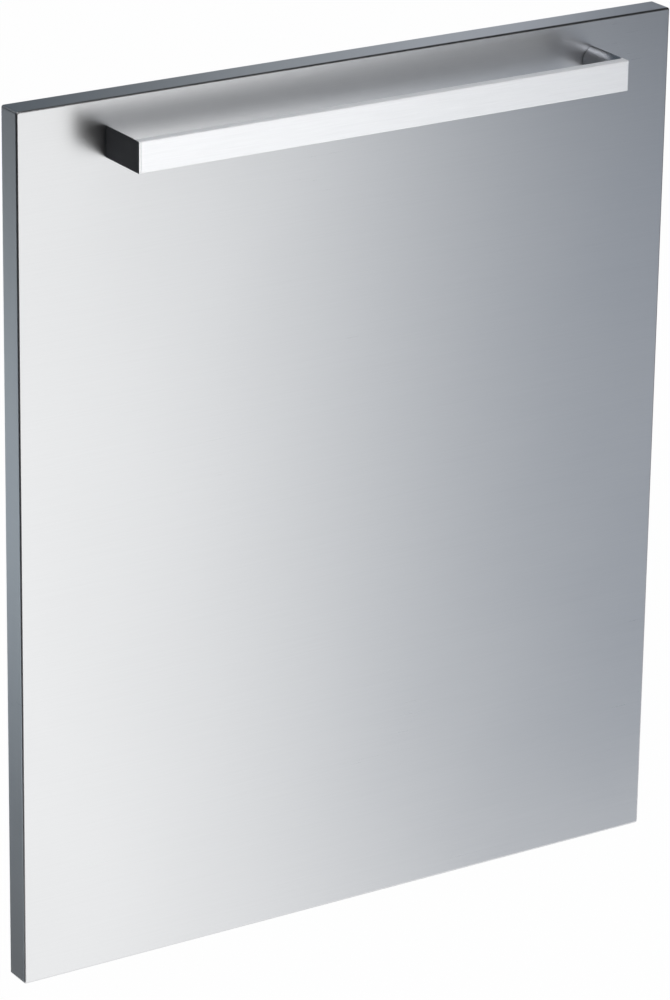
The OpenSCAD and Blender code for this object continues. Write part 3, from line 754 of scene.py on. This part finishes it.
# ---- The plugs behind ----
# Black plastic caps, pressed into the back sheet over the handle's screws. A raised rim
# and a notch for a screwdriver are moulded in, and the skirt is slit so that it springs.
def moulded(name, colour, texture):
    """Moulded plastic with a fine spark-eroded texture."""
    mat, tree, shader, place = material(name)
    grain = noise(tree, place["Object"], 1400, 3).outputs["Fac"]
    cloud = noise(tree, place["Object"], 70).outputs["Fac"]
    shaded(tree, shader, colour, ranged(tree, cloud, 0.8, 1.3))
    tree.links.new(ranged(tree, grain, 0.4, 0.6), shader.inputs["Roughness"])
    bumped(tree, shader, grain, texture, 0.00005)
    return mat


black_plastic = moulded("black_plastic", (0.022, 0.022, 0.024), texture=0.35)
plug_low, plug_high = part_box("access_plugs")
plug_long = plug_high[1] - plug_low[1]
rim_r = (plug_high[2] - plug_low[2]) / 2
rim_low = plug_high[1] - 0.0015
rim_at = rim_low - plug_low[1]
plug_x, plug_z = plug_low[0] + rim_r, (plug_low[2] + plug_high[2]) / 2
skirt_r = 0.0108
skirt_wall = 0.0012
slit_half = 0.0012
lever_half = 0.0025

plugs = turned("plugs", (plug_x, plug_low[1], plug_z), "Y",
               [(0, skirt_r - 0.0003), (0.0006, skirt_r), (rim_at, skirt_r), (rim_at, rim_r),
                (plug_long - 0.0005, rim_r), (plug_long - 0.00015, rim_r - 0.00018),
                (plug_long, rim_r - 0.0006), (plug_long, rim_r - 0.0020),
                (plug_long - 0.0004, rim_r - 0.0025)], 64)
combine(plugs, disc("hollow", (plug_x, plug_low[1] - past, plug_z), skirt_r - skirt_wall,
                    rim_at + past), "DIFFERENCE")
for wide, high in ((skirt_r * 2, slit_half), (slit_half, skirt_r * 2)):
    combine(plugs, block("slit", (plug_x - wide, plug_low[1] - past, plug_z - high),
                         (plug_x + wide, rim_low - 0.0006, plug_z + high)), "DIFFERENCE")
combine(plugs, block("lever_notch", (plug_x - lever_half, rim_low + 0.0004, plug_low[2] - past),
                     (plug_x + lever_half, plug_high[1] + past, plug_low[2] + 0.0014)), "DIFFERENCE")
repeat(plugs, [(-2 * plug_x, 0, 0)])
fit(plugs, black_plastic, "black_plastic", "panel", "access_plugs")

# ---- What fixes the panel to the door ----
# Brass inserts with a flange sit in the stiles, and black plastic bushes over them keep
# the panel off the door's sheet metal. The bushes are cored out between six ribs.
brass = plated("insert_brass", (0.78, 0.58, 0.26), roughness=0.28, blotch=0.25)
finish("threaded_inserts", brass)

bush_low, bush_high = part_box("door_spacers")
bush_long = bush_high[1] - bush_low[1]
bush_r = 0.011
bush_x, bush_z = bush_low[0] + bush_r, bush_low[2] + bush_r
bush_bore = 0.003
bush_wall = 0.0018
pocket_deep = 0.005
rib_half = 0.0006

bushes = turned("bushes", (bush_x, bush_low[1], bush_z), "Y",
                [(0, bush_r - 0.0004), (0.0004, bush_r), (bush_long - 0.0007, bush_r),
                 (bush_long - 0.0002, bush_r - 0.0002), (bush_long, bush_r - 0.0007)], 64)
start = (bush_x, bush_low[1] - past, bush_z)
combine(bushes, disc("bore", start, bush_bore, bush_long + 2 * past), "DIFFERENCE")
pocket = disc("pocket", (bush_x, bush_high[1] - pocket_deep, bush_z), bush_r - bush_wall,
              pocket_deep + past)
combine(pocket, disc("boss", start, bush_bore + bush_wall, bush_long + 2 * past), "DIFFERENCE")
for rib in range(3):
    blade = block("rib", (-bush_r, bush_low[1] - past, -rib_half),
                  (bush_r, bush_high[1] + 2 * past, rib_half))
    bpy.ops.transform.rotate(value=rib * math.pi / 3, orient_axis="Y", center_override=(0, 0, 0))
    bpy.ops.transform.translate(value=(bush_x, 0, bush_z))
    bpy.ops.object.transform_apply(location=True, rotation=True, scale=True)
    combine(pocket, blade, "DIFFERENCE")
combine(bushes, pocket, "DIFFERENCE")
across_x, up_z = -2 * bush_x, -2 * bush_z
repeat(bushes, [(across_x, 0, 0), (0, 0, up_z), (across_x, 0, up_z)])
fit(bushes, black_plastic, "black_plastic", "panel", "door_spacers")

# ---- The hangers: base plates ----
# Pressed from 2 mm galvanised sheet: a plate with folded channels that guide the slide,
# a bent ear that carries the height screw, and a collar for the lock screw.
bracket_zinc = zinc_coat("bracket_zinc", (0.82, 0.83, 0.84), crystal=0.006, contrast=0.2,
                         roughness=0.34)
base_low, base_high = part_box("left_hanger_base")
slide_low, slide_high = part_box("left_hook_slide")
back_y = bush_low[1]
sheet, slide_sheet = 0.002, 0.003
play = 0.0003
# a joined part's faces lie this far inside the other's, so that none coincide
bury = 0.0001
base_x = (base_low[0] + base_high[0]) / 2
hanger_z = (base_low[2] + base_high[2]) / 2
twin_x = -2 * base_x
channel_x = (slide_high[0] - slide_low[0]) / 2 + play
channel_y = back_y + sheet + slide_sheet + 2 * play
lip_wide = 0.005
ear_z, ear_half, ear_thick = hanger_z + 0.044, 0.010, 0.0025
ear_high = base_high[1]
channel_low, channel_high = base_low[2] + 0.0003, ear_z - 0.004
lock_z, lock_r = hanger_z - 0.002, 0.0025
height_y, height_r = back_y + sheet + play + slide_sheet + 0.0052, 0.003
collar_wall = 0.0013
wood_x, wood_z, wood_hole = 0.032, 0.038, 0.0022

base = block("left_base", (base_low[0], back_y, base_low[2]),
             (base_high[0], back_y + sheet, base_high[2]))
round_edges(base, 0.004, 8, lambda a, b: abs(a.y - b.y) > 0.001)
for side in (-1, 1):
    near, far = base_x + side * channel_x, base_x + side * (channel_x + sheet)
    free, root = base_x + side * (channel_x - lip_wide), near + side * bury
    wall = block("wall", (min(near, far), back_y + sheet / 2, channel_low),
                 (max(near, far), channel_y + sheet, channel_high))
    round_edges(wall, 0.0018, 6, lambda a, b: abs(a.z - b.z) > 0.01 and a.y > channel_y
                and abs(a.x - far) < 0.0001)
    combine(base, wall, "UNION")
    lip = block("lip", (min(free, root), channel_y, channel_low + bury),
                (max(free, root), channel_y + sheet - bury, channel_high - bury))
    round_edges(lip, 0.0015, 4, lambda a, b: abs(a.y - b.y) > 0.0005 and abs(a.x - free) < 0.0001)
    combine(base, lip, "UNION")
ear = block("ear", (base_x - ear_half, back_y + sheet / 2, ear_z),
            (base_x + ear_half, ear_high, ear_z + ear_thick))
round_edges(ear, 0.005, 8, lambda a, b: abs(a.z - b.z) > 0.001 and a.y > ear_high - 0.001)
combine(base, ear, "UNION")
combine(base, disc("collar", (base_x, base_low[1], lock_z), lock_r + collar_wall,
                   back_y + 0.0005 - base_low[1]), "UNION")
holes = [(0, lock_z - hanger_z, lock_r + tap_gap)]
holes += [(x, z, wood_hole) for x in (-wood_x, wood_x) for z in (-wood_z, wood_z)]
for x, z, radius in holes:
    combine(base, disc("drill", (base_x + x, base_low[1] - past, hanger_z + z), radius, 0.02, "Y", 32),
            "DIFFERENCE")
combine(base, disc("drill", (base_x, height_y, ear_z - past), height_r, ear_thick * 2, "Z", 32),
        "DIFFERENCE")
soften(base, 0.0002)
other_base = repeat(base, [(twin_x, 0, 0)], "right_base")
fit(base, bracket_zinc, "galvanised_bracket", "panel", "left_hanger_base")
fit(other_base, bracket_zinc, "galvanised_bracket", "panel", "right_hanger_base")

# ---- The hangers: hook slides ----
# Each is a 3 mm galvanised plate in the channel, with a hook that drops over the door's
# edge, a threaded lug for the height screw and a slot for the lock screw.
slide_y = slide_low[1]
slide_top = slide_y + slide_sheet
hook_y = bush_high[1] + 0.002
hook_z, hook_half, hook_drop = slide_low[2] + 0.020, 0.014, 0.018
lug_z, lug_half, lug_thick = slide_high[2] - 0.008, 0.008, 0.006
slot_r = lock_r + play
slot_run = 0.0052

slide = block("left_slide", slide_low, (slide_high[0], slide_top, slide_high[2]))
round_edges(slide, 0.003, 6, lambda a, b: abs(a.y - b.y) > 0.001)
hook = block("web", (base_x - hook_half, slide_y + past, hook_z),
             (base_x + hook_half, hook_y + slide_sheet, hook_z + slide_sheet))
combine(hook, block("lip", (base_x - hook_half, hook_y, hook_z - hook_drop),
                    (base_x + hook_half, hook_y + slide_sheet, hook_z + past)), "UNION")
round_edges(hook, 0.0025, 8, lambda a, b: abs(a.x - b.x) > 0.01 and a.y > hook_y + 0.002
            and a.z > hook_z + 0.002)
round_edges(hook, 0.005, 8, lambda a, b: abs(a.y - b.y) > 0.001
            and max(a.z, b.z) < hook_z - hook_drop + 0.001)
combine(slide, hook, "UNION")
lug = block("lug", (base_x - lug_half, slide_y + past, lug_z - lug_thick),
            (base_x + lug_half, slide_high[1], lug_z))
round_edges(lug, 0.004, 8, lambda a, b: abs(a.z - b.z) > 0.001 and a.y > slide_high[1] - 0.001)
combine(slide, lug, "UNION")
cutter = block("slot", (base_x - slot_r, slide_y - past, lock_z - slot_run),
               (base_x + slot_r, slide_top + past, lock_z + slot_run))
for end in (-slot_run, slot_run):
    combine(slide, disc("slot_end", (base_x, slide_y - past, lock_z + end), slot_r,
                        slide_sheet + 2 * past, "Y", 48), "DIFFERENCE")
combine(slide, cutter, "DIFFERENCE")
combine(slide, disc("drill", (base_x, height_y, lug_z - lug_thick - past), height_r,
                    lug_thick + 2 * past, "Z", 48), "DIFFERENCE")
soften(slide, 0.0002)
other_slide = repeat(slide, [(twin_x, 0, 0)], "right_slide")
fit(slide, bracket_zinc, "galvanised_bracket", "left_hook", "left_hook_slide")
fit(other_slide, bracket_zinc, "galvanised_bracket", "right_hook", "right_hook_slide")

# ---- The hangers: height screws ----
# A 6 mm screw with 1 mm pitch turns in the ear and lifts or lowers the hook. Its knurled
# head takes a 5 mm key, and a black retaining ring in a groove holds it under the ear.
screw_low, screw_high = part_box("left_height_screw")
clip_low, clip_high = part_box("left_height_clip")
screw_r = height_r - 0.00005
groove_r = screw_r - 0.0006
head_r = 0.005
head_low = screw_high[2] - 0.004 - screw_low[2]
screw_long = screw_high[2] - screw_low[2]
groove_low, groove_high = clip_low[2] - screw_low[2], clip_high[2] - screw_low[2]
knurls, knurl_dip = 48, 0.04

screw = turned("left_screw", (base_x, height_y, screw_low[2]), "Z",
               [(0, screw_r - 0.0007), (0.0007, screw_r), (groove_low - 0.0008, screw_r),
                (groove_low, screw_r), (groove_low, groove_r), (groove_high, groove_r),
                (groove_high, screw_r), (head_low, screw_r), (head_low, head_r - 0.0003),
                (head_low + 0.0003, head_r), (screw_long - 0.0006, head_r),
                (screw_long, head_r - 0.0006)],
               knurls, thread=(0.0008, groove_low - 0.001, 0.001, 0.00045))
for point in screw.data.vertices:
    across, away = point.co.x - base_x, point.co.y - height_y
    if math.hypot(across, away) > head_r - 0.0001:
        if round(math.atan2(away, across) / (2 * math.pi) * knurls) % 2:
            point.co.x -= across * knurl_dip
            point.co.y -= away * knurl_dip
key_socket(screw, (base_x, height_y, screw_high[2]), across=0.005, depth=0.003, axis="Z")
other_screw = repeat(screw, [(twin_x, 0, 0)], "right_screw")
fit(screw, zinc_plate, "zinc_steel", "left_screw", "left_height_screw")
fit(other_screw, zinc_plate, "zinc_steel", "right_screw", "right_height_screw")
black_oxide = plated("black_oxide", (0.10, 0.10, 0.11), roughness=0.38, blotch=0.4)
for ring in ("left_height_clip", "right_height_clip"):
    finish(ring, black_oxide)

# ---- The hangers: lock screws ----
# A low-headed 5 mm screw through the slot clamps the slide once its height is right. It
# sits in the base plate's collar.
lock_low, lock_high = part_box("left_lock_screw")
lock_head = 0.00475
lock_long = lock_high[1] - lock_low[1]
lock_seat = lock_long - 0.0022

lock = turned("left_lock", (base_x, lock_low[1], lock_z), "Y",
              [(0, lock_r - 0.0005), (0.0005, lock_r), (lock_seat - 0.0008, lock_r),
               (lock_seat, lock_r), (lock_seat, lock_head), (lock_long - 0.0007, lock_head),
               (lock_long - 0.0002, lock_head - 0.0002), (lock_long, lock_head - 0.0007)],
              48, thread=(0.0006, lock_seat - 0.001, 0.0008, 0.0004))
key_socket(lock, (base_x, lock_high[1], lock_z), across=0.003, depth=0.0016)
other_lock = repeat(lock, [(twin_x, 0, 0)], "right_lock")
fit(lock, zinc_plate, "zinc_steel", "panel", "left_lock_screw")
fit(other_lock, zinc_plate, "zinc_steel", "panel", "right_lock_screw")

# ---- The hangers: wood screws ----
# Four pan-headed 4 mm wood screws hold each base plate to the block inside the panel.
# They end in a point, and their heads take a 2.5 mm key.
wood_low, wood_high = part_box("left_hanger_screws")
wood_r = 0.002
pan_r = 0.004
pan_low = 0.017
point_long, thread_end = 0.003, 0.0132
wood_long = wood_high[1] - wood_low[1]

wood_screws = turned("left_wood_screws", (base_x - wood_x, wood_low[1], hanger_z - wood_z), "Y",
                     [(0, 0.0004), (point_long, wood_r), (thread_end, wood_r), (0.0136, wood_r),
                      (pan_low, wood_r), (pan_low, pan_r - 0.0002), (pan_low + 0.0002, pan_r),
                      (pan_low + 0.0011, pan_r), (pan_low + 0.0018, pan_r - 0.0003),
                      (pan_low + 0.0023, pan_r - 0.0010), (wood_long, pan_r - 0.0020)],
                     40, thread=(point_long, thread_end, 0.0017, 0.0006))
key_socket(wood_screws, (base_x - wood_x, wood_high[1], hanger_z - wood_z), across=0.0025,
           depth=0.0015)
repeat(wood_screws, [(2 * wood_x, 0, 0), (0, 0, 2 * wood_z), (2 * wood_x, 0, 2 * wood_z)])
other_wood_screws = repeat(wood_screws, [(twin_x, 0, 0)], "right_wood_screws")
fit(wood_screws, zinc_plate, "zinc_steel", "panel", "left_hanger_screws")
fit(other_wood_screws, zinc_plate, "zinc_steel", "panel", "right_hanger_screws")
